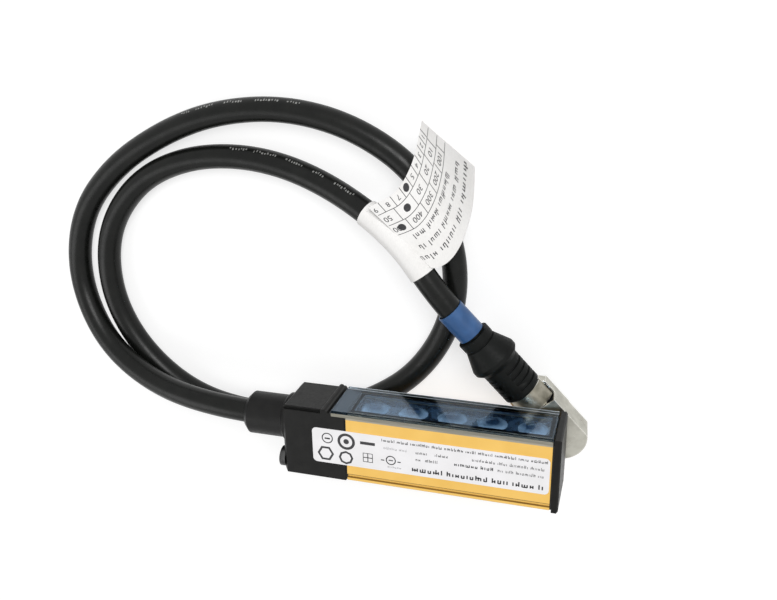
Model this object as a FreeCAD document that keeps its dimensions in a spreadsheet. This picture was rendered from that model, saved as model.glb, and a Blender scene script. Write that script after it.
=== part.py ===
"""Small light-curtain receiver with its moulded cable, marker ring, flag label and shielded plug.

Millimetres. Origin: centre of the housing's rear face. +Y is out of that face, so the window
looks along -Y; +X runs towards the cable head, and +Z is out of the labelled side.
The unit lies labelled side up on its own plug, with the cable laid in two loops on the floor.
"""
import FreeCAD, Part
import Sketcher
import math
import os
import re
from FreeCAD import Placement, Rotation, Vector

OUT = "parts"

SIZES = {
    # extruded housing
    "profile_wide": 15.4,
    "profile_deep": 20.0,
    "profile_long": 52.7,
    "side_wall": 1.4,
    "rear_wall": 1.6,
    "edge_bevel": 0.4,
    "port_block": 2.9,
    "port_radius": 0.8,
    "groove_from_rear": 1.1,
    "groove_wide": 0.9,
    "groove_cut": 0.5,
    # clear front cover
    "cover_thick": 1.4,
    "cover_bevel": 0.5,
    "cover_leg_deep": 2.2,
    "cover_leg_thick": 0.8,
    "cover_past": 3.95,
    # window seal, lenses and electronics
    "seal_thick": 0.5,
    "seal_wide": 0.9,
    "lens_count": 5,
    "lens_pitch": 10.3,
    "lens_wide": 7.6,
    "lens_rise": 1.1,
    "lens_sides": 24,
    "lens_plate": 1.0,
    "lens_gap": 0.2,
    "slide_gap": 0.1,
    "inner_end_gap": 0.5,
    "channel_mouth": 7.4,
    "channel_throat": 4.0,
    "board_thick": 1.6,
    "board_gap": 1.2,
    "chip_at": 14.0,
    "diode_side": 2.4,
    "diode_tall": 1.2,
    "chip_side": 6.4,
    "chip_small": 3.6,
    "chip_tall": 1.0,
    "header_long": 3.0,
    "header_wide": 8.0,
    "header_tall": 1.4,
    # end seals, end cap and its screws
    "end_seal": 0.4,
    "end_seal_inset": 0.3,
    "cap_thick": 1.7,
    "cap_proud": 0.4,
    "cap_bevel": 0.4,
    "spigot_wide": 6.4,
    "spigot_deep": 3.4,
    "spigot_long": 4.0,
    "screw_radius": 0.75,
    "screw_clear": 0.95,
    "screw_bite": 5.0,
    "screw_head_radius": 1.5,
    "screw_head_tall": 1.0,
    "pan_head_radius": 2.7,
    "pan_head_tall": 1.6,
    "drive_radius": 0.75,
    "drive_deep": 0.7,
    # cable head and boot
    "head_long": 17.4,
    "head_bevel": 0.8,
    "head_tongue_long": 5.0,
    "head_rib_past_cover": 1.65,
    "head_rib_wide": 1.3,
    "head_rib_tall": 0.35,
    "head_face_drop": 0.2,
    "head_notch": 0.6,
    "head_rebate": 0.8,
    "boot_radius": 5.8,
    "boot_long": 12.7,
    "boot_round": 1.2,
    "boot_foot_radius": 6.6,
    "boot_foot_long": 1.6,
    "boot_stem_radius": 4.2,
    "boot_stem_long": 6.0,
    "boot_from_rear": 12.5,
    # rating label
    "label_long": 61.7,
    "label_wide": 10.1,
    "label_thick": 0.12,
    "label_from_end": 0.35,
    "label_from_rear": 4.7,
    "label_round": 1.2,
    # cable
    "cord_radius": 3.25,
    "cord_sides": 8,
    "lay_gap": 9.5,
    "cord_last_run": 13.0,
    # plug, measured along its own axis
    "plug_turn": 131.0,
    "plug_drop": 7.4,
    "plug_x": -16.4,
    "plug_y": -23.2,
    "plug_up": 6.25,
    "grip_long": 20.2,
    "grip_radius": 5.35,
    "grip_bulge_radius": 6.6,
    "grip_bulge_at": 12.4,
    "grip_bulge_long": 1.1,
    "grip_collar_radius": 4.5,
    "grip_collar_long": 2.2,
    "grip_waist_at": 9.8,
    "grip_end_round": 0.7,
    "rib_count": 4,
    "rib_pitch": 1.9,
    "rib_wide": 0.7,
    "rib_cut": 0.45,
    "rib_first": 2.0,
    "rib_land": 1.7,
    "pit_wide": 1.0,
    "pit_deep": 0.8,
    "pit_aside": 2.9,
    "pit_first": 2.4,
    "pit_pitch": 3.6,
    "sleeve_radius": 5.3,
    "sleeve_long": 5.5,
    "sleeve_sink": 1.6,
    "sleeve_wall": 0.5,
    "sleeve_from_axis": 0.6,
    "hood_wide": 11.7,
    "hood_rear_gap": 0.3,
    "hood_long": 22.3,
    "hood_half_tall": 3.3,
    "hood_rear_drop": 0.45,
    "hood_step_at": 11.5,
    "hood_nose_bow": 3.1,
    "hood_wall": 0.45,
    "hood_rear_cut": 1.4,
    "hood_window_long": 8.0,
    "hood_window_wide": 8.8,
    "contact_count": 8,
    "contact_pitch": 1.02,
    "contact_wide": 0.35,
    "contact_long": 5.2,
    "contact_tall": 1.6,
    "contact_from_nose": 4.4,
    "slot_gap": 0.05,
    "core_gap": 0.05,
    # blue marker ring
    "ring_gap": 0.1,
    "ring_wall": 0.3,
    "ring_long": 8.5,
    "ring_from_grip": 0.5,
    # paper flag label
    "paper": 0.3,
    "paper_gap": 0.1,
    "wrap_long": 21.5,
    "wrap_sides": 12,
}

# The cable's route after the boot, as the corners of its runs. It passes over its own lower
# loop twice, and two more corners lead it into the plug's grip along the plug's axis. The paper
# flag is wrapped about the last corner here.
CORD_POINTS = [
    (72.0, -12.5, 0.0),
    (94.0, -14.0, -6.0),
    (109.5, -25.0, -10.2),
    (116.5, -43.0, -13.95),
    (113.5, -62.5, -13.95),
    (101.5, -77.5, -13.95),
    (84.0, -87.0, -13.95),
    (66.5, -92.5, -13.95),
    (47.0, -93.5, -13.95),
    (28.5, -89.5, -13.95),
    (12.5, -78.5, -13.95),
    (4.0, -61.0, -13.95),
    (4.0, -42.0, -13.95),
    (12.5, -24.5, -13.95),
    (27.0, -13.0, -13.95),
    (45.0, -6.5, -13.95),
    (63.5, -5.0, -13.95),
    (83.0, -8.5, -13.95),
    (98.5, -20.5, -13.95),
    (106.0, -37.5, -13.95),
    (104.5, -57.0, -13.95),
    (93.5, -73.0, -13.95),
    (76.0, -81.5, -13.95),
    (55.5, -82.0, -13.95),
    (36.0, -75.0, -13.45),
    (19.0, -60.5, -7.2),
]

# The paper flag's leaf, from the wrap outwards: along the cable, away from it, and upwards,
# for the left and the right end of each cross line.
LEAF_LINES = [
    ((0.0, 3.35, -3.3), (21.5, 3.35, -0.3)),
    ((3.0, 14.5, -1.0), (24.0, 13.5, -0.8)),
    ((1.0, 21.5, -1.0), (21.5, 19.5, 1.8)),
    ((-0.8, 26.2, -1.0), (18.0, 25.0, 5.2)),
    ((-3.6, 29.0, -1.0), (13.2, 32.5, 9.2)),
]

doc = FreeCAD.newDocument("light_curtain")
sheet = doc.addObject("Spreadsheet::Sheet", "Sizes")
for row, (alias, value) in enumerate(SIZES.items(), start=1):
    sheet.set(f"A{row}", alias)
    sheet.set(f"B{row}", str(value))
    sheet.setAlias(f"B{row}", alias)
doc.recompute()

NODES = []


def size(alias):
    """The sheet's value of one driving dimension."""
    return float(sheet.get(alias))


def swap_names(text, swap):
    """The formula with each of the sheet's aliases in it put through swap."""
    found = re.compile(r"[a-z_][a-z0-9_]*")
    return found.sub(lambda match: swap(match[0]) if match[0] in SIZES else match[0], str(text))


def formula(text):
    """The formula in the form that an expression needs."""
    return swap_names(text, lambda alias: f"Sizes.{alias}")


def worth(text):
    """The present value of a formula over the sheet's aliases."""
    return FreeCAD.Units.Quantity("(" + swap_names(text, lambda alias: f"({size(alias)})") + ")").Value


def bind(item, **formulas):
    """Tie properties of an object to formulas over the sheet."""
    for name, text in formulas.items():
        item.setExpression(name, formula(text))
    return item


def place(item, x=0, y=0, z=0):
    """Tie an object's position to formulas over the sheet."""
    for axis, text in zip("xyz", (x, y, z)):
        item.setExpression(f"Placement.Base.{axis}", formula(text))
    return item


def node(item, label):
    """Name a finished sub-part; its label is its file's name."""
    item.Label = label
    NODES.append(item)
    return item


# ---- primitives and booleans ----

def block(long, wide, tall, x, y, z):
    """A box with one corner at x, y, z."""
    box = doc.addObject("Part::Box", "Block")
    bind(box, Length=long, Width=wide, Height=tall)
    return place(box, x, y, z)


TURNS = {
    "x": Rotation(Vector(0, 1, 0), 90),
    "z": Rotation(),
}


def rod(radius, long, x, y, z, axis="x"):
    """A cylinder that starts at x, y, z and runs along one axis."""
    cylinder = doc.addObject("Part::Cylinder", "Rod")
    cylinder.Placement = Placement(Vector(), TURNS[axis])
    bind(cylinder, Radius=radius, Height=long)
    return place(cylinder, x, y, z)


def socket(x, y, z):
    """A hexagonal drive hole along X."""
    hexagon = doc.addObject("Part::Prism", "Socket")
    hexagon.Polygon = 6
    hexagon.Placement = Placement(Vector(), TURNS["x"])
    bind(hexagon, Circumradius="drive_radius", Height="drive_deep")
    return place(hexagon, x, y, z)


def ring_solid(rings):
    """A solid with flat faces through rings of points, each ring beyond the last."""
    faces = [Part.Face(Part.makePolygon(ring + ring[:1])) for ring in (rings[0], rings[-1])]
    for near, far in zip(rings, rings[1:]):
        for number, corner in enumerate(near):
            for third in (near[number - 1], far[number]):
                ends = (third, corner, far[number - 1])
                faces.append(Part.Face(Part.makePolygon(ends + ends[:1])))
    solid = Part.makeSolid(Part.makeShell(faces))
    if solid.Volume < 0:
        solid.reverse()
    return solid


def fuse(items):
    """Several pieces as one object."""
    joined = doc.addObject("Part::MultiFuse", "Fuse")
    joined.Shapes = items
    return joined


def cut(base, tool):
    """One object less another."""
    result = doc.addObject("Part::Cut", "Cut")
    result.Base = base
    result.Tool = tool
    return result


def common(base, tool):
    """What two objects share."""
    result = doc.addObject("Part::Common", "Common")
    result.Base = base
    result.Tool = tool
    return result


# ---- sketches and bodies ----

def new_body(name):
    """An empty body."""
    return doc.addObject("PartDesign::Body", name)


def sketch_on(body, role, start="0"):
    """A sketch on one of the body's own origin planes, moved along its normal by start."""
    sketch = body.newObject("Sketcher::SketchObject", "Sketch")
    plane = next(item for item in body.Origin.OriginFeatures if item.Role == role)
    sketch.AttachmentSupport = [(plane, "")]
    sketch.MapMode = "FlatFace"
    sketch.setExpression("AttachmentOffset.Base.z", formula(start))
    return sketch


def arc_between(first, last, radius, side):
    """The arc of a circle from first to last, and whether it runs anticlockwise."""
    chord = last - first
    across = Vector(-chord.y, chord.x, 0).normalize() * side
    reach = math.sqrt(max(radius ** 2 - (chord.Length / 2) ** 2, 0))
    centre = (first + last) / 2 + across * reach
    angles = [math.atan2(point.y - centre.y, point.x - centre.x) for point in (first, last)]
    if side < 0:
        angles.reverse()
    if angles[1] < angles[0]:
        angles[1] += 2 * math.pi
    return Part.ArcOfCircle(Part.Circle(centre, Vector(0, 0, 1), radius), *angles), side > 0


def draw(sketch, corners, bows=None):
    """A closed outline through corners, which are pairs of formulas.

    bows gives the edge after a corner a radius: (formula, 1) puts its centre on the left of
    the way round, and (formula, -1) on the right.
    """
    bows = bows or {}
    points = [Vector(worth(x), worth(y), 0) for x, y in corners]
    ends = []
    for number, first in enumerate(points):
        last = points[(number + 1) % len(points)]
        if number not in bows:
            edge = sketch.addGeometry(Part.LineSegment(first, last), False)
            ends.append((edge, 1, 2))
            continue
        text, side = bows[number]
        curve, forward = arc_between(first, last, worth(text), side)
        edge = sketch.addGeometry(curve, False)
        ends.append((edge, 1, 2) if forward else (edge, 2, 1))
        held = sketch.addConstraint(Sketcher.Constraint("Radius", edge, worth(text)))
        sketch.setExpression(f"Constraints[{held}]", formula(text))
    for number, (edge, start, _) in enumerate(ends):
        before, _, end = ends[number - 1]
        sketch.addConstraint(Sketcher.Constraint("Coincident", before, end, edge, start))
    for (edge, start, _), (x, y), point in zip(ends, corners, points):
        for kind, text, value in (("DistanceX", x, point.x), ("DistanceY", y, point.y)):
            held = sketch.addConstraint(Sketcher.Constraint(kind, -1, 1, edge, start, value))
            sketch.setExpression(f"Constraints[{held}]", formula(text))


def draw_circle(sketch, radius, x, y):
    """A circle whose radius and centre are formulas."""
    centre = Vector(worth(x), worth(y), 0)
    circle = sketch.addGeometry(Part.Circle(centre, Vector(0, 0, 1), worth(radius)), False)
    rules = [
        (Sketcher.Constraint("Radius", circle, worth(radius)), radius),
        (Sketcher.Constraint("DistanceX", -1, 1, circle, 3, centre.x), x),
        (Sketcher.Constraint("DistanceY", -1, 1, circle, 3, centre.y), y),
    ]
    for rule, text in rules:
        held = sketch.addConstraint(rule)
        sketch.setExpression(f"Constraints[{held}]", formula(text))


def rectangle(x0, y0, x1, y1):
    """The corners of a rectangle."""
    return [(x0, y0), (x1, y0), (x1, y1), (x0, y1)]


def pad(body, sketch, length, reverse=False, both_ways=False):
    """A sketch drawn out into a solid."""
    feature = body.newObject("PartDesign::Pad", "Pad")
    feature.Profile = sketch
    feature.Reversed = reverse
    feature.Midplane = both_ways
    bind(feature, Length=length)
    return feature


def pocket(body, sketch, length, reverse=False, both_ways=False):
    """A sketch sunk into the body."""
    feature = body.newObject("PartDesign::Pocket", "Pocket")
    feature.Profile = sketch
    feature.Reversed = reverse
    feature.Midplane = both_ways
    bind(feature, Length=length)
    return feature


def turned(body, sketch):
    """A sketch turned about its own horizontal axis."""
    feature = body.newObject("PartDesign::Revolution", "Revolution")
    feature.Profile = sketch
    feature.ReferenceAxis = (sketch, ["H_Axis"])
    feature.Angle = 360
    return feature


def bevel(body, feature, wanted, width):
    """A chamfer on the feature's edges that wanted() picks."""
    doc.recompute()
    names = [f"Edge{number}" for number, edge in enumerate(feature.Shape.Edges, 1) if wanted(edge)]
    chamfer = body.newObject("PartDesign::Chamfer", "Chamfer")
    chamfer.Base = (feature, names)
    bind(chamfer, Size=width)
    return chamfer


def at(value, wanted):
    """Whether a coordinate is the wanted one."""
    return abs(value - wanted) < 1e-4


# ---- places that several sub-parts share, as formulas ----

HALF_LONG = "profile_long/2"
HALF_WIDE = "profile_wide/2"
BORE_HALF = "(profile_wide/2 - side_wall)"
FRONT = "(-profile_deep)"
COVER_REAR = "(cover_thick - profile_deep)"
LEG_END = "(cover_thick + cover_leg_deep - profile_deep)"
LENS_BASE = "(cover_thick + lens_gap + lens_rise - profile_deep)"
CARRIER_FRONT = "(cover_thick + lens_gap + lens_rise + lens_plate - profile_deep)"
BOARD_REAR = "(-rear_wall - port_block - board_gap - chip_tall)"
BOARD_FRONT = "(-rear_wall - port_block - board_gap - chip_tall - board_thick)"
CARRIER_DEEP = f"({BOARD_FRONT} - {CARRIER_FRONT})"
INNER_HALF = "(profile_wide/2 - side_wall - slide_gap)"
INNER_LONG = "(profile_long - 2*inner_end_gap)"
PORT_Y = "(-rear_wall - port_block/2)"
PORT_Z = "(profile_wide/2 - side_wall - port_block/2)"
CAP_INNER = "(-profile_long/2 - end_seal)"
HEAD_START = "(profile_long/2 + end_seal)"
HEAD_END = "(profile_long/2 + end_seal + head_long)"
LENS_FIRST = "(-(lens_count - 1)/2*lens_pitch)"
# The rings of a lens's dome, as shares of its half width.
LENS_RINGS = (1, 0.8, 0.5, 0.2)


def lens_places():
    """Where each lens stands along the window."""
    return [f"({LENS_FIRST} + {number}*lens_pitch)" for number in range(round(size("lens_count")))]


def screw_rods(radius, long, start):
    """One rod in line with each screw channel of the housing."""
    return [rod(radius, long, start, PORT_Y, f"{side}*{PORT_Z}") for side in (1, -1)]


def screw_sockets(start):
    """One drive hole in line with each screw channel."""
    return [socket(start, PORT_Y, f"{side}*{PORT_Z}") for side in (1, -1)]


# ---- housing ----

def housing_profile():
    """The extrusion: open in front, with a mounting groove in each side and two screw channels."""
    body = new_body("Housing")
    sketch = sketch_on(body, "YZ_Plane", f"-{HALF_LONG}")
    groove = ["(-groove_from_rear - groove_wide)", "(-groove_from_rear)"]
    block_front = "(-rear_wall - port_block)"
    lower = [
        (COVER_REAR, HALF_WIDE),
        (COVER_REAR, BORE_HALF),
        (block_front, BORE_HALF),
        (block_front, f"({BORE_HALF} - port_block)"),
        ("(-rear_wall)", f"({BORE_HALF} - port_block)"),
    ]
    outer = [
        ("0", f"({HALF_WIDE} - edge_bevel)"),
        ("(-edge_bevel)", HALF_WIDE),
        (groove[1], HALF_WIDE),
        (groove[1], f"({HALF_WIDE} - groove_cut)"),
        (groove[0], f"({HALF_WIDE} - groove_cut)"),
        (groove[0], HALF_WIDE),
    ]

    def other_side(corners):
        return [(y, f"(-({z}))") for y, z in reversed(corners)]

    draw(sketch, lower + other_side(lower) + other_side(outer) + outer)
    for side in (1, -1):
        draw_circle(sketch, "port_radius", PORT_Y, f"{side}*{PORT_Z}")
    pad(body, sketch, "profile_long")
    return node(body, "housing_profile")


def front_window():
    """The clear cover, which runs on over the cable head, with a leg inside each wall."""
    body = new_body("Window")
    sketch = sketch_on(body, "YZ_Plane", f"-{HALF_LONG}")
    draw(sketch, [
        (COVER_REAR, f"-{HALF_WIDE}"),
        (COVER_REAR, HALF_WIDE),
        (f"({FRONT} + cover_bevel)", HALF_WIDE),
        (FRONT, f"({HALF_WIDE} - cover_bevel)"),
        (FRONT, f"(cover_bevel - {HALF_WIDE})"),
        (f"({FRONT} + cover_bevel)", f"-{HALF_WIDE}"),
    ])
    pad(body, sketch, "profile_long + cover_past")
    for side in (1, -1):
        legs = sketch_on(body, "YZ_Plane", f"-{HALF_LONG}")
        outer = f"{side}*{BORE_HALF}"
        inner = f"{side}*({BORE_HALF} - cover_leg_thick)"
        draw(legs, rectangle(COVER_REAR, inner, LEG_END, outer))
        pad(body, legs, "profile_long")
    return node(body, "front_window")


def window_seal():
    """The gasket behind the window's edge."""
    body = new_body("Gasket")
    half_long = f"({HALF_LONG} - inner_end_gap)"
    half_wide = f"({BORE_HALF} - cover_leg_thick - slide_gap)"
    sketch = sketch_on(body, "XZ_Plane", f"profile_deep - cover_thick - seal_thick")
    draw(sketch, rectangle(f"-{half_long}", f"-{half_wide}", half_long, half_wide))
    inner = [f"({half} - seal_wide)" for half in (half_long, half_wide)]
    draw(sketch, rectangle(f"-{inner[0]}", f"-{inner[1]}", *inner))
    pad(body, sketch, "seal_thick")
    return node(body, "window_seal")


def lens_dome(x):
    """One lens's bulge: rings of points on a sphere, joined by flat faces."""
    half, rise = size("lens_wide") / 2, size("lens_rise")
    curve = (half * half + rise * rise) / (2 * rise)
    sides = round(size("lens_sides"))
    rings = []
    for share in LENS_RINGS:
        reach = share * half
        height = rise - curve + math.sqrt(curve * curve - reach * reach)
        angles = [2 * math.pi * number / sides for number in range(sides)]
        rings.append([Vector(reach * math.cos(angle), -height, reach * math.sin(angle)) for angle in angles])
    dome = doc.addObject("Part::Feature", "Dome")
    dome.Shape = ring_solid(rings)
    return place(dome, x, LENS_BASE)


def lens_strip():
    """The strip of bulged lenses on the front of the optics carrier."""
    half_wide = f"({BORE_HALF} - cover_leg_thick - slide_gap)"
    plate = block(INNER_LONG, "lens_plate", f"2*{half_wide}", f"-{INNER_LONG}/2", LENS_BASE, f"-{half_wide}")
    return node(fuse([plate] + [lens_dome(x) for x in lens_places()]), "lens_strip")


def optics_carrier():
    """The black carrier, with a square tapering light channel behind each lens."""
    body = block(INNER_LONG, CARRIER_DEEP, f"2*{INNER_HALF}", f"-{INNER_LONG}/2", CARRIER_FRONT,
                 f"-{INNER_HALF}")
    channels = []
    for x in lens_places():
        channel = doc.addObject("Part::Wedge", "Channel")
        bind(channel, Ymin="0", Ymax=CARRIER_DEEP)
        for axis in "XZ":
            bind(channel, **{f"{axis}min": "-channel_mouth/2", f"{axis}max": "channel_mouth/2"})
            bind(channel, **{f"{axis}2min": "-channel_throat/2", f"{axis}2max": "channel_throat/2"})
        channels.append(place(channel, x, CARRIER_FRONT, 0))
    return node(cut(body, fuse(channels)), "optics_carrier")


def electronics():
    """The circuit board with its photodiodes in front, and its chips and wire header behind."""
    board_long = f"({INNER_LONG} - 2*slide_gap)"
    board = block(board_long, "board_thick", f"2*{INNER_HALF}", f"-{board_long}/2", BOARD_FRONT,
                  f"-{INNER_HALF}")
    node(board, "circuit_board")
    diodes = []
    for x in lens_places():
        diodes.append(block("diode_side", "diode_tall", "diode_side", f"{x} - diode_side/2",
                            f"{BOARD_FRONT} - diode_tall", "-diode_side/2"))
    node(fuse(diodes), "photodiodes")
    chips = [
        block("chip_side", "chip_tall", "chip_side", "-chip_at", BOARD_REAR, "-chip_side/2"),
        block("chip_small", "chip_tall", "chip_small", "chip_at - chip_small", BOARD_REAR, "0"),
        block("chip_small", "chip_tall", "chip_small", "chip_at - chip_small", BOARD_REAR,
              "-chip_small - chip_tall"),
    ]
    node(fuse(chips), "board_chips")
    header = block("header_long", "header_tall", "header_wide",
                   f"{board_long}/2 - header_long - header_tall", BOARD_REAR, "-header_wide/2")
    node(header, "wire_header")


# ---- ends of the housing ----

def spigot_sketch(body, start):
    """The outline of the tongue with which an end piece enters the housing."""
    sketch = sketch_on(body, "YZ_Plane", start)
    draw(sketch, rectangle("-rear_wall - slide_gap - spigot_deep", "-spigot_wide/2",
                           "-rear_wall - slide_gap", "spigot_wide/2"))
    return sketch


def end_seal(label, start):
    """The gasket between the housing and an end piece."""
    body = new_body("EndSeal")
    sketch = sketch_on(body, "YZ_Plane", start)
    half = f"({HALF_WIDE} - end_seal_inset)"
    draw(sketch, rectangle(f"({COVER_REAR} + end_seal_inset)", f"-{half}", "-end_seal_inset", half))
    draw(sketch, rectangle("-rear_wall - 2*slide_gap - spigot_deep", "-spigot_wide/2 - slide_gap",
                           "-rear_wall", "spigot_wide/2 + slide_gap"))
    for side in (1, -1):
        draw_circle(sketch, "screw_clear", PORT_Y, f"{side}*{PORT_Z}")
    pad(body, sketch, "end_seal")
    return node(body, label)


def end_cap():
    """The plain end cap."""
    body = new_body("Cap")
    start = f"({CAP_INNER} - cap_thick)"
    sketch = sketch_on(body, "YZ_Plane", start)
    draw(sketch, rectangle(FRONT, f"-{HALF_WIDE}", "cap_proud", HALF_WIDE))
    for side in (1, -1):
        draw_circle(sketch, "screw_clear", PORT_Y, f"{side}*{PORT_Z}")
    plate = pad(body, sketch, "cap_thick")
    outside = worth(start)
    corner = worth(HALF_WIDE)

    def outer_rim(edge):
        box = edge.BoundBox
        on_rim = at(abs(box.ZMin), corner) or at(abs(box.ZMax), corner)
        return at(box.XMin, outside) and at(box.XMax, outside) and edge.Length > corner and on_rim

    bevel(body, plate, outer_rim, "cap_bevel")
    seats = sketch_on(body, "YZ_Plane", start)
    for side in (1, -1):
        draw_circle(seats, "screw_head_radius + slide_gap", PORT_Y, f"{side}*{PORT_Z}")
    pocket(body, seats, "screw_head_tall", reverse=True)
    pad(body, spigot_sketch(body, CAP_INNER), "end_seal + spigot_long")
    return node(body, "end_cap")


def end_cap_screws():
    """The cap's two screws, with heads sunk flush in it and a drive hole in each head."""
    outside = f"({CAP_INNER} - cap_thick)"
    shanks = screw_rods("screw_radius", "cap_thick + end_seal + screw_bite", outside)
    heads = screw_rods("screw_head_radius", "screw_head_tall", outside)
    holes = screw_sockets(outside)
    return node(cut(fuse(shanks + heads), fuse(holes)), "end_cap_screws")


def cable_head():
    """The moulded head that carries the cable, with a seat for the end of the window."""
    body = new_body("Head")
    seat = f"({COVER_REAR} + slide_gap)"
    face = f"({FRONT} + head_face_drop)"
    rib = f"({HALF_LONG} + cover_past + head_rib_past_cover)"
    top = f"({face} - head_rib_tall)"
    window_end = f"({HALF_LONG} + cover_past + slide_gap)"
    sketch = sketch_on(body, "XY_Plane")
    draw(sketch, [
        (HEAD_START, "0"),
        (HEAD_START, seat),
        (window_end, seat),
        (window_end, f"({face} + head_notch)"),
        (f"({window_end} + head_notch)", f"({face} + head_notch)"),
        (f"({rib} - head_notch)", face),
        (rib, face),
        (f"({rib} + head_rib_tall)", top),
        (f"({rib} + head_rib_wide - head_rib_tall)", top),
        (f"({rib} + head_rib_wide)", face),
        (f"({HEAD_END} - head_bevel)", face),
        (HEAD_END, f"({face} + head_bevel)"),
        (HEAD_END, "-head_bevel"),
        (f"({HEAD_END} - head_bevel)", "0"),
    ])
    block_of = pad(body, sketch, "profile_wide", both_ways=True)
    ends = worth(HEAD_END)
    corner = worth(HALF_WIDE)

    def end_corner(edge):
        box = edge.BoundBox
        at_end = at(box.XMin, ends) and at(box.XMax, ends)
        return at_end and at(abs(box.ZMin), corner) and at(box.ZMin, box.ZMax)

    bevel(body, block_of, end_corner, "head_bevel")
    for way in (1, -1):
        rebate = sketch_on(body, "YZ_Plane", f"{rib} + head_rib_wide")
        draw(rebate, rectangle(f"({face} - head_rib_tall)", f"{way}*({HALF_WIDE} - head_rebate)",
                               f"({face} + head_rebate)", f"{way}*({HALF_WIDE} + head_rebate)"))
        pocket(body, rebate, "head_long", reverse=True)
    pad(body, spigot_sketch(body, HEAD_START), "end_seal + head_tongue_long", reverse=True)
    bore = sketch_on(body, "YZ_Plane", HEAD_END)
    draw_circle(bore, "boot_stem_radius + slide_gap", "(-boot_from_rear)", "0")
    pocket(body, bore, "boot_stem_long + slide_gap")
    channels = sketch_on(body, "YZ_Plane", HEAD_END)
    for way in (1, -1):
        draw_circle(channels, "screw_clear", PORT_Y, f"{way}*{PORT_Z}")
    pocket(body, channels, "head_long")
    return node(body, "cable_head")


def head_screws():
    """The two long screws through the head, with their pan heads on its end."""
    start = f"({HALF_LONG} - screw_bite)"
    shanks = screw_rods("screw_radius", "screw_bite + end_seal + head_long", start)
    heads = screw_rods("pan_head_radius", "pan_head_tall", HEAD_END)
    holes = screw_sockets(f"{HEAD_END} + pan_head_tall - drive_deep")
    return node(cut(fuse(shanks + heads), fuse(holes)), "head_screws")


def cable_boot():
    """The cable's moulded boot, with a foot on the head and a stem inside it."""
    body = new_body("Boot")
    sketch = body.newObject("Sketcher::SketchObject", "Side")
    plane = next(item for item in body.Origin.OriginFeatures if item.Role == "XY_Plane")
    sketch.AttachmentSupport = [(plane, "")]
    sketch.MapMode = "FlatFace"
    bind(sketch, **{"AttachmentOffset.Base.x": HEAD_END, "AttachmentOffset.Base.y": "-boot_from_rear"})
    draw(sketch, [
        ("-boot_stem_long", "0"),
        ("-boot_stem_long", "boot_stem_radius"),
        ("0", "boot_stem_radius"),
        ("0", "boot_foot_radius"),
        ("boot_foot_long/2", "boot_foot_radius"),
        ("boot_foot_long", "boot_radius"),
        ("boot_long - boot_round", "boot_radius"),
        ("boot_long", "boot_radius - boot_round"),
        ("boot_long", "0"),
    ])
    turned(body, sketch)
    return node(body, "cable_boot")


def rating_label():
    """The thin label along the housing and the head."""
    body = new_body("Label")
    sketch = sketch_on(body, "XY_Plane", HALF_WIDE)
    left = f"(label_from_end - {HALF_LONG})"
    right = f"({left} + label_long)"
    low = "(-label_from_rear - label_wide)"
    high = "(-label_from_rear)"
    draw(sketch, [
        (f"({left} + label_round)", low),
        (f"({right} - label_round)", low),
        (right, f"({low} + label_round)"),
        (right, f"({high} - label_round)"),
        (f"({right} - label_round)", high),
        (f"({left} + label_round)", high),
        (left, f"({high} - label_round)"),
        (left, f"({low} + label_round)"),
    ], {number: ("label_round", 1) for number in (1, 3, 5, 7)})
    pad(body, sketch, "label_thick")
    return node(body, "rating_label")


# ---- plug, each piece drawn along +X from the front of the grip ----

PLUG_Z = "(plug_up - profile_wide/2 - lay_gap)"


def at_plug(item):
    """Turn a piece onto the plug's own axis, which drops towards its nose."""
    point = f"vector(plug_x; plug_y; {PLUG_Z})"
    item.setExpression("Placement", formula(f"placement({point}; rotation(plug_turn; plug_drop; 0))"))
    return item


def marker_ring():
    """The blue ring pushed onto the cable behind the grip."""
    body = new_body("Ring")
    sketch = sketch_on(body, "YZ_Plane", "-grip_long - ring_from_grip - ring_long")
    draw_circle(sketch, "cord_radius + ring_gap + ring_wall", "0", "0")
    draw_circle(sketch, "cord_radius + ring_gap", "0", "0")
    pad(body, sketch, "ring_long")
    return node(at_plug(body), "marker_ring")


def plug_grip():
    """The moulded grip: a collar, a bulge, a waist with short ribs down each side, and two pits."""
    body = new_body("Grip")
    sketch = sketch_on(body, "XY_Plane")
    groove = "(grip_collar_radius - rib_cut)"
    draw(sketch, [
        ("-grip_long", "0"),
        ("-grip_long", "grip_collar_radius"),
        ("grip_collar_long - grip_long", "grip_collar_radius"),
        ("grip_collar_long - grip_long", groove),
        ("grip_collar_long - grip_long + rib_wide", groove),
        ("grip_collar_long - grip_long + rib_wide", "grip_collar_radius"),
        ("-grip_bulge_at", "grip_bulge_radius"),
        ("grip_bulge_long - grip_bulge_at", "grip_bulge_radius"),
        ("-grip_waist_at", "grip_radius"),
        ("-grip_end_round", "grip_radius"),
        ("0", "grip_radius - grip_end_round"),
        ("0", "0"),
    ])
    turned(body, sketch)
    grooves = []
    for number in range(round(size("rib_count"))):
        start = f"(-rib_first - {number}*rib_pitch - rib_wide)"
        ring = cut(rod("grip_radius + rib_cut", "rib_wide", start, 0, 0),
                   rod("grip_radius - rib_cut", "rib_wide", start, 0, 0))
        land = block("rib_wide", "2*rib_land", "4*grip_radius", start, "-rib_land", "-2*grip_radius")
        grooves.append(cut(ring, land))
    pits = [block("pit_wide", "pit_wide", "grip_radius", f"-pit_first - {number}*pit_pitch", "-pit_aside",
                  "grip_radius - pit_deep - pit_wide") for number in range(2)]
    return node(at_plug(cut(body, fuse(grooves + pits))), "plug_grip")


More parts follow.
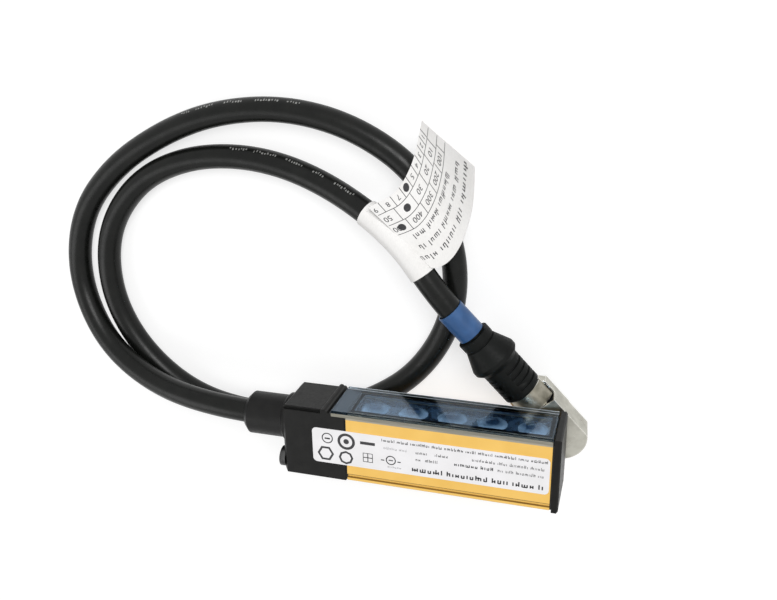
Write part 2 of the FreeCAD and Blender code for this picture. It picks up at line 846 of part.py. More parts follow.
def crimp_sleeve():
    """The half-round metal sleeve over the rear of the shell, thin-walled."""
    outer = rod("sleeve_radius", "sleeve_long", 0, 0, "-sleeve_sink")
    inner = rod("sleeve_radius - sleeve_wall", "sleeve_long", "sleeve_wall", 0, "-sleeve_sink")
    upper = block("sleeve_long", "4*sleeve_radius", "2*sleeve_radius", 0, "-2*sleeve_radius",
                  "-sleeve_from_axis")
    return node(at_plug(common(cut(outer, inner), upper)), "crimp_sleeve")


def hood_sketch(body, inset, start):
    """The shell's plan, drawn in by inset: bevelled at the rear and bowed at the nose."""
    sketch = sketch_on(body, "XY_Plane", start)
    half = f"(hood_wide/2 - {inset})"
    back = f"(hood_rear_gap + {inset})"
    side_end = f"(hood_long - hood_nose_bow - {inset})"
    rear_half = f"({half} - hood_rear_cut)"
    bow = f"(({half}*{half} + hood_nose_bow*hood_nose_bow)/(2*hood_nose_bow))"
    draw(sketch, [
        (back, f"-{rear_half}"),
        (f"({back} + hood_rear_cut)", f"-{half}"),
        (side_end, f"-{half}"),
        (side_end, half),
        (f"({back} + hood_rear_cut)", half),
        (back, rear_half),
    ], {2: (bow, 1)})
    return sketch


def hood_solid(inset, drop):
    """The shell's full form, or the hollow inside it: the rear half is lower by drop."""
    body = new_body("Hood")
    half_tall = f"(hood_half_tall - {inset})"
    pad(body, hood_sketch(body, inset, f"-{half_tall}"), f"2*{half_tall}")
    if drop:
        step = sketch_on(body, "XY_Plane", f"-{half_tall} - {drop}")
        back = "(hood_rear_gap + hood_rear_cut)"
        half = "hood_wide/2"
        draw(step, rectangle(back, f"-{half}", "hood_step_at", half))
        pad(body, step, drop)
    return body


def plug_shell():
    """The folded metal shell: a tray under the sleeve, closed further on, open at the contacts."""
    shell = cut(hood_solid("0", "hood_rear_drop"), hood_solid("hood_wall", ""))
    open_top = block("sleeve_long + slide_gap", "2*hood_wide", "2*hood_half_tall", 0, "-hood_wide",
                     "-sleeve_from_axis")
    window = block("hood_window_long", "hood_window_wide", "2*hood_half_tall",
                   "hood_long - contact_from_nose - hood_window_long + hood_wall", "-hood_window_wide/2",
                   "-3*hood_half_tall")
    return node(at_plug(cut(shell, fuse([open_top, window]))), "plug_shell")


def contact_slots(label_gap):
    """One upright slab for each contact, grown on every side by label_gap."""
    slabs = []
    for number in range(round(size("contact_count"))):
        y = f"({number} - (contact_count - 1)/2)*contact_pitch - contact_wide/2 - {label_gap}"
        x = f"hood_long - contact_from_nose - contact_long - {label_gap}"
        slabs.append(block(f"contact_long + 2*{label_gap}", f"contact_wide + 2*{label_gap}",
                           f"contact_tall + 2*{label_gap}", x, y,
                           f"hood_wall - hood_half_tall - {label_gap}"))
    return slabs


def plug_core():
    """The plastic core inside the shell, with a slot for each contact."""
    body = hood_solid("(hood_wall + core_gap)", "")
    behind = block("sleeve_long + sleeve_wall", "2*hood_wide", "2*hood_half_tall", 0, "-hood_wide",
                   "-hood_half_tall")
    return node(at_plug(cut(body, fuse([behind] + contact_slots("slot_gap")))), "plug_core")


def plug_contacts():
    """The row of contact blades."""
    return node(at_plug(fuse(contact_slots("0"))), "plug_contacts")


# ---- cable and its flag ----

def plug_point(along):
    """A point on the plug's axis."""
    turn = Rotation(size("plug_turn"), size("plug_drop"), 0)
    start = Vector(size("plug_x"), size("plug_y"), worth(PLUG_Z))
    return start + turn.multVec(Vector(along, 0, 0))


def route():
    """The corners of the cable's runs, from the boot's face to the grip's."""
    rear = -size("grip_long")
    boot = Vector(worth(f"{HEAD_END} + boot_long"), -size("boot_from_rear"), 0)
    middle = [Vector(*point) for point in CORD_POINTS]
    return [boot] + middle + [plug_point(rear - size("cord_last_run")), plug_point(rear)]


def run_edges(points):
    """Straight runs and the tangent arcs between them, with each arc's radius."""
    edges = []
    radii = []
    here = points[0]
    for before, corner, after in zip(points, points[1:], points[2:]):
        run_in = corner - before
        run_out = after - corner
        half_turn = run_in.getAngle(run_out) / 2
        reach = 0.45 * min(run_in.Length, run_out.Length)
        radius = reach / math.tan(half_turn)
        start = corner - run_in.normalize() * reach
        end = corner + run_out.normalize() * reach
        inward = (run_out - run_in).normalize()
        middle = corner + inward * (radius / math.cos(half_turn) - radius)
        edges.append(Part.LineSegment(here, start).toShape())
        edges.append(Part.Arc(start, middle, end).toShape())
        radii.append(radius)
        here = end
    edges.append(Part.LineSegment(here, points[-1]).toShape())
    return edges, radii


def section(edge, radius, sides):
    """A many-sided face square to the start of an edge, with its corners at radius."""
    start = edge.valueAt(edge.FirstParameter)
    along = edge.tangentAt(edge.FirstParameter)
    first = along.cross(Vector(0, 0, 1)).normalize() * radius
    corners = [start + Rotation(along, 360 * number / sides).multVec(first) for number in range(sides)]
    return Part.Face(Part.makePolygon(corners + corners[:1]))


def shape_node(shape, label):
    """A sub-part whose shape is made here."""
    item = doc.addObject("Part::Feature", label)
    item.Shape = shape
    item.Placement = Placement()
    return node(item, label)


def cable():
    """The round cable, as it lies: a plain tube of a few flat sides."""
    edges, radii = run_edges(route())
    path = Part.Wire(edges)
    face = section(edges[0], size("cord_radius"), round(size("cord_sides")))
    tube = path.makePipe(face)
    share = tube.Volume / (face.Area * path.Length)
    print("cable bend radii", [round(radius, 1) for radius in radii])
    print(f"cable length {path.Length:.1f}, volume {share:.5f} of section times length")
    return shape_node(tube, "cable")


def wrap_path():
    """The cable's line through the flag: the last hand-placed bend, and some run on each side."""
    edges, _ = run_edges(route())
    number = 2 * len(CORD_POINTS) - 1
    bend = edges[number]
    spare = (size("wrap_long") - bend.Length) / 2
    first, last = (bend.valueAt(end) for end in (bend.FirstParameter, bend.LastParameter))
    run_in, run_out = edges[number - 1], edges[number + 1]
    start = first - run_in.tangentAt(run_in.FirstParameter) * spare
    end = last + run_out.tangentAt(run_out.FirstParameter) * spare
    return [Part.LineSegment(start, first).toShape(), bend, Part.LineSegment(last, end).toShape()]


def leaf(pieces):
    """The flag's curling leaf, as thin cross sections joined by flat faces."""
    bend = pieces[1]
    middle = bend.valueAt((bend.FirstParameter + bend.LastParameter) / 2)
    along = pieces[2].Vertexes[-1].Point - pieces[0].Vertexes[0].Point
    along = Vector(along.x, along.y, 0).normalize()
    away = Vector(-along.y, along.x, 0)
    start = middle - along * (size("wrap_long") / 2)
    rows = [[start + along * x + away * y + Vector(0, 0, z) for x, y, z in line] for line in LEAF_LINES]
    rings = []
    for number, (left, right) in enumerate(rows):
        ahead = rows[min(number + 1, len(rows) - 1)]
        behind = rows[max(number - 1, 0)]
        outwards = ahead[0] + ahead[1] - behind[0] - behind[1]
        up = (right - left).cross(outwards).normalize() * size("paper")
        rings.append([left, right, right + up, left + up])
    return ring_solid(rings)


def flag_label():
    """The paper flag: a wrap about the cable, and a curling leaf."""
    pieces = wrap_path()
    path = Part.Wire(pieces)
    sides = round(size("wrap_sides"))
    inner = (size("cord_radius") + size("paper_gap")) / math.cos(math.pi / sides)
    outer = inner + size("paper")
    tubes = [path.makePipe(section(pieces[0], radius, sides)) for radius in (outer, inner)]
    return shape_node(tubes[0].cut(tubes[1]).fuse(leaf(pieces)), "flag_label")


# ---- the whole part ----

def build():
    """Make every sub-part."""
    housing_profile()
    front_window()
    window_seal()
    lens_strip()
    optics_carrier()
    electronics()
    end_seal("cap_seal", CAP_INNER)
    end_cap()
    end_cap_screws()
    end_seal("head_seal", HALF_LONG)
    cable_head()
    head_screws()
    cable_boot()
    rating_label()
    marker_ring()
    plug_grip()
    crimp_sleeve()
    plug_shell()
    plug_core()
    plug_contacts()
    cable()
    flag_label()


def check():
    """Stop where an object failed or a sub-part has no valid shape."""
    for item in doc.Objects:
        if {"Invalid", "Error"} & set(item.State):
            raise RuntimeError(f"{item.Label}: {item.State}")
    for item in NODES:
        if item.Shape.isNull() or not item.Shape.isValid():
            raise RuntimeError(f"{item.Label} has no valid shape")


def write():
    """Write each sub-part to its own file."""
    os.makedirs(OUT, exist_ok=True)
    for item in NODES:
        item.Shape.exportStep(f"{OUT}/{item.Label}.step")
        print(f"{item.Label}: {len(item.Shape.Solids)} solids, {item.Shape.Volume:.1f} mm3")


build()
doc.recompute()
check()
write()
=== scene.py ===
"""The looks of a small safety light curtain with its cable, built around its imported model.

The numbers below are millimetres in the model's own frame, and MM turns them into metres.
"""

import math
import random

import bpy
from mathutils import Matrix, Vector


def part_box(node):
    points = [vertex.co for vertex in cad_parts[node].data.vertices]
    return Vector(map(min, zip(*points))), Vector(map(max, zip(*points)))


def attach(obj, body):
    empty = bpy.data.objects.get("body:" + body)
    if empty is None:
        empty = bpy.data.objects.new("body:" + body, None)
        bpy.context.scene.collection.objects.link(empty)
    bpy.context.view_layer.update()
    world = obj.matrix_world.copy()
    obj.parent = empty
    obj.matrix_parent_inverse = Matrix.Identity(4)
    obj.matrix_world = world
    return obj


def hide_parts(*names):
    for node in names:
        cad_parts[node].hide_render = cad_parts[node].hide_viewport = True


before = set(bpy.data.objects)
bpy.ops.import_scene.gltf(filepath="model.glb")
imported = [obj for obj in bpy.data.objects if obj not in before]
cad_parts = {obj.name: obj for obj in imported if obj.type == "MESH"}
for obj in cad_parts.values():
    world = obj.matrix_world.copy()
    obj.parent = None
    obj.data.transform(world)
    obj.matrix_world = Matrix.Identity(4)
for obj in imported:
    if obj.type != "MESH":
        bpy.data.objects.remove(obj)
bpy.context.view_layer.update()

MM = 0.001
# The floor's height: under the lowest piece.
FLOOR = -17.2
UP = Vector((0, 0, 1))


def mm(x, y, z):
    """A point in metres from millimetres."""
    return Vector((x, y, z)) * MM


# ---- camera ----

LENS_MM = 39.4
CAMERA_PLACE = mm(-40.4, -124.5, 189.2)
CAMERA_RIGHT = Vector((-0.959, 0.0147, -0.283))
CAMERA_BACK = Vector((-0.2695, -0.3564, 0.8946))


def make_camera():
    """The camera at the photograph's angle."""
    data = bpy.data.cameras.new("camera")
    data.lens = LENS_MM
    data.clip_start = 0.01
    camera = bpy.data.objects.new("camera", data)
    bpy.context.scene.collection.objects.link(camera)
    back = CAMERA_BACK.normalized()
    right = (CAMERA_RIGHT - back * CAMERA_RIGHT.dot(back)).normalized()
    turn = Matrix((right, back.cross(right), back)).transposed()
    camera.matrix_world = Matrix.Translation(CAMERA_PLACE) @ turn.to_4x4()
    bpy.context.scene.camera = camera


make_camera()

# ---- the cable's line ----

CORD_RADIUS = 3.25
BOOT_END = (56.85, -12.5, 0.0)
# The plug's origin and the way it points, and the straight run of cable behind its grip.
PLUG_BASE = Vector((-16.4, -23.2, -10.95))
PLUG_AXIS = Vector((-0.650595, 0.748424, -0.128796))
GRIP_LONG = 20.2
LAST_RUN = 13.0
CORD_POINTS = [
    (72.0, -13.0, 0.0),
    (93.5, -15.5, -6.0),
    (109.0, -25.5, -10.2),
    (117.0, -43.0, -13.95),
    (112.5, -62.0, -13.95),
    (100.0, -76.0, -13.95),
    (83.5, -86.0, -13.95),
    (66.5, -92.0, -13.95),
    (47.0, -93.5, -13.95),
    (28.5, -89.0, -13.95),
    (12.5, -78.5, -13.95),
    (3.0, -61.0, -13.95),
    (2.5, -41.5, -13.95),
    (11.5, -24.0, -13.95),
    (26.5, -12.5, -13.95),
    (45.0, -6.0, -13.95),
    (63.5, -4.0, -13.95),
    (83.0, -8.0, -13.95),
    (98.5, -20.5, -13.95),
    (106.5, -37.5, -13.95),
    (105.0, -57.0, -13.95),
    (93.0, -72.5, -13.95),
    (75.5, -80.0, -13.95),
    (55.5, -80.5, -13.95),
    (36.5, -74.5, -13.45),
    (16.0, -63.5, -7.2),
]


def cord_route():
    """The cable's control points: out of the boot, round its two loops and into the grip."""
    ends = [PLUG_BASE - PLUG_AXIS * (GRIP_LONG + run) for run in (LAST_RUN, 0)]
    return [BOOT_END] + CORD_POINTS + [tuple(end) for end in ends]


def cord_curve(name, radius):
    """A smooth curve through the route; a radius of 0 leaves its bare line."""
    curve = bpy.data.curves.new(name, "CURVE")
    curve.dimensions = "3D"
    curve.resolution_u = 20
    curve.bevel_depth = radius * MM
    curve.bevel_resolution = 8
    curve.use_fill_caps = True
    spline = curve.splines.new("NURBS")
    points = cord_route()
    spline.points.add(len(points) - 1)
    for point, place in zip(spline.points, points):
        point.co = (*mm(*place), 1)
    spline.order_u = 3
    spline.use_endpoint_u = True
    piece = bpy.data.objects.new(name, curve)
    bpy.context.scene.collection.objects.link(piece)
    return piece


def cord_line():
    """Points along the cable's smooth line, in millimetres, and how far along each one is."""
    bare = cord_curve("bare_line", 0)
    bpy.context.view_layer.update()
    solved = bare.evaluated_get(bpy.context.evaluated_depsgraph_get())
    mesh = bpy.data.meshes.new_from_object(solved)
    points = [vertex.co / MM for vertex in mesh.vertices]
    bpy.data.objects.remove(bare)
    bpy.data.meshes.remove(mesh)
    along = [0.0]
    for before, after in zip(points, points[1:]):
        along.append(along[-1] + (after - before).length)
    return points, along


LINE, ALONG = cord_line()


def at_distance(distance):
    """The cable line's point and direction at a distance from the boot."""
    number = 0
    while ALONG[number + 1] < distance and number < len(LINE) - 2:
        number += 1
    share = (distance - ALONG[number]) / (ALONG[number + 1] - ALONG[number])
    forward = (LINE[number + 1] - LINE[number]).normalized()
    return LINE[number].lerp(LINE[number + 1], share), forward


# ---- meshes ----

# Edges sharper than this, in degrees, stay sharp on a smooth piece.
SHARP_ANGLE = 35


def add_piece(name, points, faces, finish, smooth=False):
    """A mesh piece of points in millimetres, which moves with the part."""
    mesh = bpy.data.meshes.new(name)
    mesh.from_pydata([Vector(point) * MM for point in points], [], faces)
    mesh.validate()
    mesh.polygons.foreach_set("use_smooth", [smooth] * len(mesh.polygons))
    if smooth:
        mesh.set_sharp_from_angle(angle=math.radians(SHARP_ANGLE))
    mesh.materials.append(finish)
    piece = bpy.data.objects.new(name, mesh)
    bpy.context.scene.collection.objects.link(piece)
    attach(piece, "root")
    return piece


class Patch:
    """Gathers the points and faces of one piece."""

    def __init__(self):
        self.points = []
        self.faces = []

    def face(self, *corners):
        """One face with points of its own."""
        first = len(self.points)
        self.points.extend(corners)
        self.faces.append(tuple(range(first, first + len(corners))))

    def grid(self, rows, closed=False):
        """Faces between rows of points, each row as long as the next."""
        first, wide = len(self.points), len(rows[0])
        for row in rows:
            self.points.extend(row)
        for i in range(len(rows) - 1):
            for j in range(wide if closed else wide - 1):
                a, b = first + i * wide + j, first + i * wide + (j + 1) % wide
                self.faces.append((a, b, b + wide, a + wide))

    def mesh(self, name, finish, slot, smooth=False):
        """Makes the piece."""
        return add_piece(name, self.points, self.faces, finish, smooth)


# ---- finishes ----

class Finish:
    """A material whose colour, roughness and relief follow the piece's own millimetres."""

    def __init__(self, name, **settings):
        self.name = name
        self.material = bpy.data.materials.new(name)
        self.material.use_nodes = True
        self.nodes = self.material.node_tree.nodes
        self.shader = self.nodes["Principled BSDF"]
        for socket, value in settings.items():
            self.shader.inputs[socket.replace("_", " ")].default_value = value
        self.place = self.add("ShaderNodeTexCoord").outputs["Object"]
        self.normal = None

    def add(self, kind, **inputs):
        """A node with its inputs set, or linked where an input is another node's output."""
        node = self.nodes.new(kind)
        for socket, value in inputs.items():
            name = int(socket[1:]) if socket[0] == "_" else socket.replace("_", " ")
            if isinstance(value, bpy.types.NodeSocket):
                self.material.node_tree.links.new(value, node.inputs[name])
            else:
                node.inputs[name].default_value = value
        return node

    def stretched(self, x=1, y=1, z=1):
        """The piece's coordinates in millimetres, each axis scaled."""
        scale = (x / MM, y / MM, z / MM)
        return self.add("ShaderNodeMapping", Vector=self.place, Scale=scale).outputs[0]

    def noise(self, per_mm, detail=3.0, stretch=(1, 1, 1)):
        """Cloudy noise with so many spots to a millimetre."""
        spots = self.add("ShaderNodeTexNoise", Vector=self.stretched(*stretch), Scale=per_mm,
                         Detail=detail)
        return spots.outputs["Fac"]

    def math(self, kind, first, second=0.0):
        """A math node's result; first and second are numbers or other nodes' outputs."""
        node = self.add("ShaderNodeMath", _0=first, _1=second)
        node.operation = kind
        return node.outputs[0]

    def axis(self, name):
        """One coordinate in millimetres."""
        return self.add("ShaderNodeSeparateXYZ", Vector=self.stretched()).outputs[name]

    def band(self, value, low, high):
        """1 where value is between low and high, else 0."""
        above = self.math("GREATER_THAN", value, low)
        return self.math("MULTIPLY", above, self.math("LESS_THAN", value, high))

    def ramp(self, value, dark, light, low=0.35, high=0.65):
        """A colour between dark and light as value goes from low to high."""
        node = self.add("ShaderNodeValToRGB", Fac=value)
        for element, place, colour in zip(node.color_ramp.elements, (low, high), (dark, light)):
            element.position = place
            element.color = (*colour, 1)
        return node.outputs["Color"]

    def blend(self, share, first, second):
        """The first colour where share is 0, and the second where it is 1."""
        node = self.add("ShaderNodeMix", _0=share, _6=first, _7=second)
        node.data_type = "RGBA"
        return node.outputs[2]

    def scaled(self, value, low, high):
        """Value from 0.3..0.7 carried to low..high."""
        node = self.add("ShaderNodeMapRange", Value=value)
        ends = {"From Min": 0.3, "From Max": 0.7, "To Min": low, "To Max": high}
        for socket, number in ends.items():
            node.inputs[socket].default_value = number
        return node.outputs["Result"]

    def wire(self, socket, output):
        """Links a node's output to one of the shader's sockets."""
        self.material.node_tree.links.new(output, self.shader.inputs[socket])

    def relief(self, height, depth, strength=1.0):
        """Adds a bump of so many millimetres to the shader's normal."""
        node = self.add("ShaderNodeBump", Height=height, Strength=strength, Distance=depth * MM)
        if self.normal:
            self.material.node_tree.links.new(self.normal, node.inputs["Normal"])
        self.normal = node.outputs["Normal"]
        self.wire("Normal", self.normal)

    def round_edges(self, radius):
        """Shades sharp edges as if they had this radius in millimetres."""
        self.normal = self.add("ShaderNodeBevel", Radius=radius * MM).outputs["Normal"]
        self.wire("Normal", self.normal)

    def edge_sharpness(self, radius):
        """About 0 on flats, and up to 1 on sharp edges."""
        soft = self.add("ShaderNodeBevel", Radius=radius * MM).outputs["Normal"]
        sharp = self.add("ShaderNodeNewGeometry").outputs["Normal"]
        node = self.add("ShaderNodeVectorMath", _0=soft, _1=sharp)
        node.operation = "DOT_PRODUCT"
        return self.math("SUBTRACT", 1.0, node.outputs["Value"])


def moulded(name, dark, light, rough, grain, depth, **settings):
    """A moulded plastic or rubber: mottled tone, uneven gloss, a fine grain and softened edges."""
    finish = Finish(name, **settings)
    finish.round_edges(0.25)
    patches = finish.noise(0.35, 4.0)
    finish.wire("Base Color", finish.ramp(patches, dark, light))
    finish.wire("Roughness", finish.scaled(finish.noise(1.3), *rough))
    finish.relief(finish.noise(grain, 2.0), depth, 0.6)
    return finish


def plated(name, dark, light):
    """A plated sheet metal: uneven tone and gloss, and a painted highlight that makes its sharp
    edges pale.
    """
    finish = Finish(name, Metallic=1.0)
    finish.round_edges(0.2)
    tone = finish.ramp(finish.noise(0.25, 4.0), dark, light)
    # Painted highlight: a pale tone along the sharp edges stands for the glint on them.
    edge_glint = finish.math("MINIMUM", finish.math("MULTIPLY", finish.edge_sharpness(0.45), 9.0), 1.0)
    glint_tone = finish.ramp(finish.noise(1.0), (0.88, 0.86, 0.80), (0.96, 0.95, 0.92))
    finish.wire("Base Color", finish.blend(edge_glint, tone, glint_tone))
    finish.wire("Roughness", finish.scaled(finish.noise(0.7, 4.0), 0.26, 0.38))
    finish.relief(finish.noise(0.3, 3.0), 0.012, 0.4)
    finish.relief(finish.noise(8.0, 2.0, (1, 0.2, 1)), 0.003, 0.5)
    return finish


def printed(name, dark, light):
    """Ink: a slightly uneven tone and gloss."""
    ink = Finish(name)
    ink.wire("Base Color", ink.ramp(ink.noise(1.5), dark, light))
    ink.wire("Roughness", ink.scaled(ink.noise(2.0), 0.4, 0.6))
    ink.relief(ink.noise(6.0), 0.004, 0.4)
    return ink


# Where the extrusion's coat ends towards the window, and the groove's two lips, along Y.
COAT_END = -18.1
GROOVE_LIPS = ((-2.16, -1.96), (-1.2, -1.0))


def yellow_coat():
    """The extrusion's yellow coat, with shade in its groove and a bare strip beside the window."""
    coat = Finish("yellow_coat", Coat_Weight=0.2, Coat_Roughness=0.25, Specular_IOR_Level=0.4)
    coat.round_edges(0.12)
    paint = coat.ramp(coat.noise(0.12, 4.0), (0.88, 0.53, 0.11), (0.94, 0.585, 0.14))
    shade = coat.ramp(coat.noise(0.9, 3.0, (0.06, 1, 1)), (0.24, 0.13, 0.02), (0.36, 0.20, 0.035))
    bare = coat.ramp(coat.noise(2.0, 3.0, (0.05, 1, 1)), (0.27, 0.25, 0.20), (0.40, 0.37, 0.30))
    along = coat.axis("Y")
    groove = coat.math("MAXIMUM", *[coat.band(along, *lip) for lip in GROOVE_LIPS])
    coated = coat.blend(groove, paint, shade)
    coat.wire("Base Color", coat.blend(coat.math("LESS_THAN", along, COAT_END), coated, bare))
    coat.wire("Roughness", coat.scaled(coat.noise(0.8, 3.0, (0.08, 1, 1)), 0.30, 0.46))
    coat.relief(coat.noise(6.0, 2.0, (0.01, 1, 1)), 0.006, 0.6)
    coat.relief(coat.noise(9.0, 2.0), 0.004, 0.5)
    return coat


# The cover's front starts here along Y, and two lines along Z mark its moulded edges showing
# through it, as a painted highlight.
COVER_FACE = -19.5
COVER_GLINT_LINES = ((-7.6, -7.0), (-5.95, -5.75))


def clear_cover():
    """The window: blue glass with painted highlight lines along its edges, and frosted where its
    sides show beside the coat.
    """
    cover = Finish("clear_cover", Roughness=0.03, IOR=1.38, Specular_Tint=(0.42, 0.68, 0.95, 1.0))
    normal = cover.nodes["Texture Coordinate"].outputs["Normal"]
    tilt = cover.math("ABSOLUTE", cover.add("ShaderNodeSeparateXYZ", Vector=normal).outputs["Z"])
    sides = cover.math("GREATER_THAN", tilt, 0.9)
    height = cover.axis("Z")
    lines = cover.math("MAXIMUM", *[cover.band(height, *line) for line in COVER_GLINT_LINES])
    pale = cover.math("MULTIPLY", lines, cover.math("LESS_THAN", cover.axis("Y"), COVER_FACE))
    tint = cover.ramp(cover.noise(0.2), (0.52, 0.68, 0.84), (0.60, 0.75, 0.90))
    edge = cover.ramp(cover.noise(0.9, 3.0, (0.1, 1, 1)), (0.30, 0.28, 0.22), (0.38, 0.36, 0.29))
    # Painted highlight: the two lines on the front are pale and mostly solid.
    glint = cover.ramp(cover.noise(0.5, 2.0, (0.3, 1, 1)), (0.66, 0.78, 0.90), (0.88, 0.94, 1.0))
    cover.wire("Base Color", cover.blend(pale, cover.blend(sides, tint, edge), glint))
    solid = cover.math("MAXIMUM", cover.math("MULTIPLY", sides, 0.8),
                       cover.math("MULTIPLY", pale, 0.9))
    cover.wire("Transmission Weight", cover.math("SUBTRACT", 1.0, solid))
    cover.relief(cover.noise(0.15, 2.0), 0.01, 0.3)
    return cover


LENS_COUNT = 5
LENS_PITCH = 10.3
LENS_WIDE = 7.6
LENS_RISE = 1.1
LENS_PLATE = 1.0
# A ragged edge: the noise moves a lens's rim outwards, by half of this on average.
RIM_NOISE = 0.9


def clear_lens():
    """The lens strip: a dome is dark in its middle with a painted highlight at its rim, and the
    plate is dark.
    """
    lens = Finish("clear_lens", Roughness=0.05, IOR=1.5, Transmission_Weight=0.25,
                  Coat_Weight=0.6, Coat_Roughness=0.03)
    from_end = lens.math("ADD", lens.axis("X"), LENS_PITCH * LENS_COUNT / 2)
    share = lens.math("FRACT", lens.math("DIVIDE", from_end, LENS_PITCH))
    across = lens.math("MULTIPLY", lens.math("SUBTRACT", share, 0.5), LENS_PITCH)
    down = lens.axis("Z")
    radius = lens.math("SQRT", lens.math("ADD", lens.math("MULTIPLY", across, across),
                                         lens.math("MULTIPLY", down, down)))
    radius = lens.math("ADD", radius, lens.math("MULTIPLY", lens.noise(0.45, 2.0), RIM_NOISE))
    half = LENS_WIDE / 2
    # Painted highlight: each dome goes from dark in its middle to pale at its rim.
    dome = lens.ramp(lens.math("DIVIDE", radius, half),
                     (0.06, 0.11, 0.18), (0.78, 0.88, 0.97), 0.55, 1.1)
    plate = lens.ramp(lens.noise(0.6, 3.0), (0.035, 0.06, 0.09), (0.12, 0.18, 0.25))
    on_dome = lens.math("LESS_THAN", radius, half + RIM_NOISE / 2)
    lens.wire("Base Color", lens.blend(on_dome, plate, dome))
    lens.relief(lens.noise(0.5, 2.0), 0.02, 0.3)
    return lens


def cable_jacket():
    """The cable's black jacket, satin and very slightly wavy."""
    jacket = Finish("cable_jacket", Specular_IOR_Level=0.2)
    tone = jacket.ramp(jacket.noise(0.25, 4.0), (0.0045, 0.005, 0.0045), (0.0075, 0.008, 0.007))
    jacket.wire("Base Color", tone)
    jacket.wire("Roughness", jacket.scaled(jacket.noise(0.7, 3.0), 0.26, 0.38))
    jacket.relief(jacket.noise(0.22, 2.0), 0.12, 0.35)
    jacket.relief(jacket.noise(5.0, 2.0), 0.012, 0.6)
    return jacket


def label_film():
    """The rating label's white film."""
    film = Finish("label_film", Specular_IOR_Level=0.4)
    tone = film.ramp(film.noise(0.15, 4.0), (0.86, 0.85, 0.86), (0.92, 0.91, 0.925))
    film.wire("Base Color", tone)
    film.wire("Roughness", film.scaled(film.noise(1.2), 0.35, 0.5))
    film.relief(film.noise(0.35, 2.0), 0.02, 0.3)
    return film


def flag_paper():
    """The flag's paper, with a faint fibre."""
    paper = Finish("paper", Specular_IOR_Level=0.3)
    sheet = paper.ramp(paper.noise(0.12, 4.0), (0.90, 0.885, 0.865), (0.95, 0.94, 0.925))
    fibre = paper.ramp(paper.noise(4.0, 5.0, (1, 0.3, 1)), (0.95, 0.95, 0.95), (1.0, 1.0, 1.0))
    mixed = paper.add("ShaderNodeMix", _0=1.0, _6=sheet, _7=fibre)
    mixed.data_type = "RGBA"
    mixed.blend_type = "MULTIPLY"
    paper.wire("Base Color", mixed.outputs[2])
    paper.wire("Roughness", paper.scaled(paper.noise(1.0), 0.55, 0.7))
    paper.relief(paper.noise(0.25, 3.0), 0.05, 0.3)
    paper.relief(paper.noise(5.0, 4.0), 0.01, 0.5)
    return paper


def screw_steel():
    """The blackened steel of the screws."""
    steel = Finish("screw_steel", Metallic=1.0)
    steel.round_edges(0.15)
    tone = steel.ramp(steel.noise(0.8), (0.045, 0.045, 0.045), (0.09, 0.09, 0.09))
    steel.wire("Base Color", tone)
    steel.wire("Roughness", steel.scaled(steel.noise(2.0), 0.3, 0.45))
    steel.relief(steel.noise(5.0, 2.0, (0.3, 1, 1)), 0.01, 0.5)
    return steel


def contact_gold():
    """The contacts' gold."""
    gold = Finish("contact_gold", Metallic=1.0)
    gold.wire("Base Color", gold.ramp(gold.noise(1.0), (0.80, 0.56, 0.20), (0.90, 0.66, 0.28)))
    gold.wire("Roughness", gold.scaled(gold.noise(3.0), 0.2, 0.35))
    gold.relief(gold.noise(6.0, 2.0), 0.005, 0.5)
    return gold


def circuit_green():
    """The board, with its traces as paler and higher patches."""
    board = Finish("board")
    traces = board.noise(0.9, 1.0, (0.4, 1, 1))
    tone = board.ramp(traces, (0.006, 0.060, 0.022), (0.012, 0.105, 0.040), 0.49, 0.51)
    board.wire("Base Color", tone)
    board.wire("Roughness", board.scaled(board.noise(1.0), 0.25, 0.4))
    board.relief(traces, 0.03, 0.6)
    return board


# Each moulded material: its two tones, its roughness, and its grain to a millimetre and in depth.
MOULDED = {
    "seal_rubber": ((0.010, 0.010, 0.010), (0.020, 0.020, 0.020), (0.6, 0.75), 6.0, 0.02),
    "core_plastic": ((0.010, 0.010, 0.011), (0.018, 0.018, 0.019), (0.4, 0.55), 6.0, 0.015),
    "chip_epoxy": ((0.012, 0.012, 0.013), (0.022, 0.022, 0.024), (0.5, 0.7), 8.0, 0.02),
    "header_plastic": ((0.58, 0.55, 0.46), (0.68, 0.65, 0.56), (0.4, 0.55), 6.0, 0.01),
    "diode_epoxy": ((0.03, 0.01, 0.015), (0.05, 0.015, 0.02), (0.08, 0.18), 3.0, 0.005),
    "window_gasket": ((0.05, 0.075, 0.10), (0.10, 0.14, 0.18), (0.4, 0.55), 6.0, 0.01),
    "ring_blue": ((0.016, 0.072, 0.20), (0.028, 0.10, 0.26), (0.32, 0.48), 4.0, 0.02),
}


def make_finishes():
    """Every finish, by its name."""
    found = [yellow_coat(), clear_cover(), clear_lens(), cable_jacket(), label_film(), flag_paper(),
             screw_steel(), contact_gold(), circuit_green()]
    found += [moulded(name, *looks) for name, looks in MOULDED.items()]
    found += [
        moulded("black_mould", (0.0055, 0.0055, 0.0053), (0.009, 0.009, 0.0085), (0.34, 0.48),
                7.0, 0.012, Specular_IOR_Level=0.16),
        moulded("boot_rubber", (0.005, 0.005, 0.0048), (0.008, 0.008, 0.0076), (0.36, 0.5),
                5.0, 0.015, Specular_IOR_Level=0.2),
        moulded("grip_rubber", (0.0035, 0.004, 0.0038), (0.006, 0.007, 0.0065), (0.42, 0.6),
                5.0, 0.02, Specular_IOR_Level=0.12),
        plated("plug_metal", (0.38, 0.37, 0.32), (0.53, 0.52, 0.46)),
        plated("sleeve_metal", (0.17, 0.16, 0.125), (0.36, 0.34, 0.28)),
        printed("ink", (0.012, 0.012, 0.014), (0.03, 0.03, 0.033)),
        printed("grey_ink", (0.30, 0.30, 0.31), (0.40, 0.40, 0.41)),
        printed("white_ink", (0.16, 0.16, 0.155), (0.32, 0.32, 0.31)),
    ]
    return {finish.name: finish.material for finish in found}


